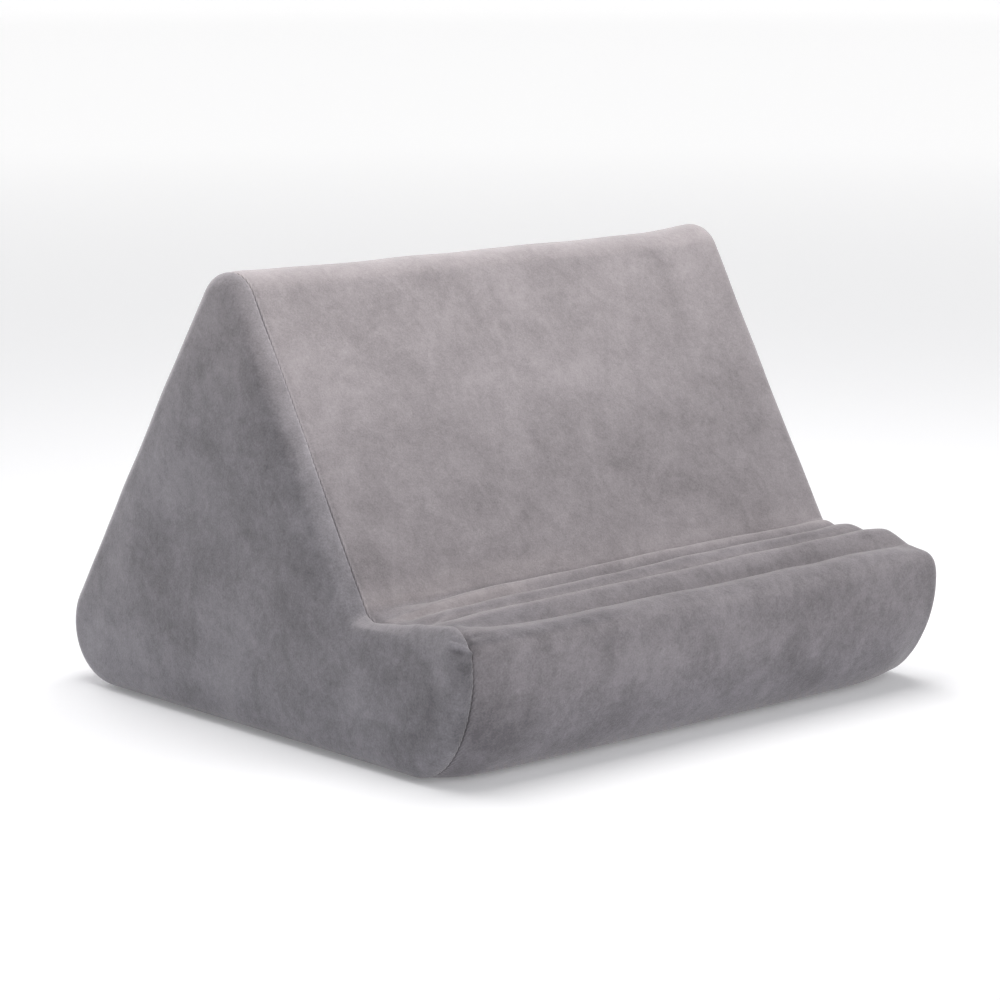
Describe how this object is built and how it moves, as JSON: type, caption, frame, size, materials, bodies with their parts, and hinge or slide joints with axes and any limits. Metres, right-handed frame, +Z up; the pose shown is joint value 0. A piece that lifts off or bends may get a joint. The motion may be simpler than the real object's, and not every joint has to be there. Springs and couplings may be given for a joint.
{
  "type": "tablet pillow stand",
  "caption": "Free-standing foam-filled wedge pillow in short-pile velvet that holds a tablet: a long front slope and a ledge with sewn rolls and a big nose roll",
  "frame": {"origin": "the middle of the pillow's box, on the surface it stands on", "axes": "X runs along the ridge, -Y is the front with the ledge and the nose roll, +Y is the back, +Z is up"},
  "size_m": [0.288, 0.2634, 0.1906],
  "materials": {
    "wrap_velvet": "warm grey short-pile velvet with a cloudy nap",
    "end_velvet": "grey short-pile velvet with a cloudy nap, seen darker from the side"
  },
  "bodies": {
    "root": {"filled_body": "wrap_velvet", "end_panel_left": "end_velvet", "end_panel_right": "end_velvet"}
  },
  "joints": []
}
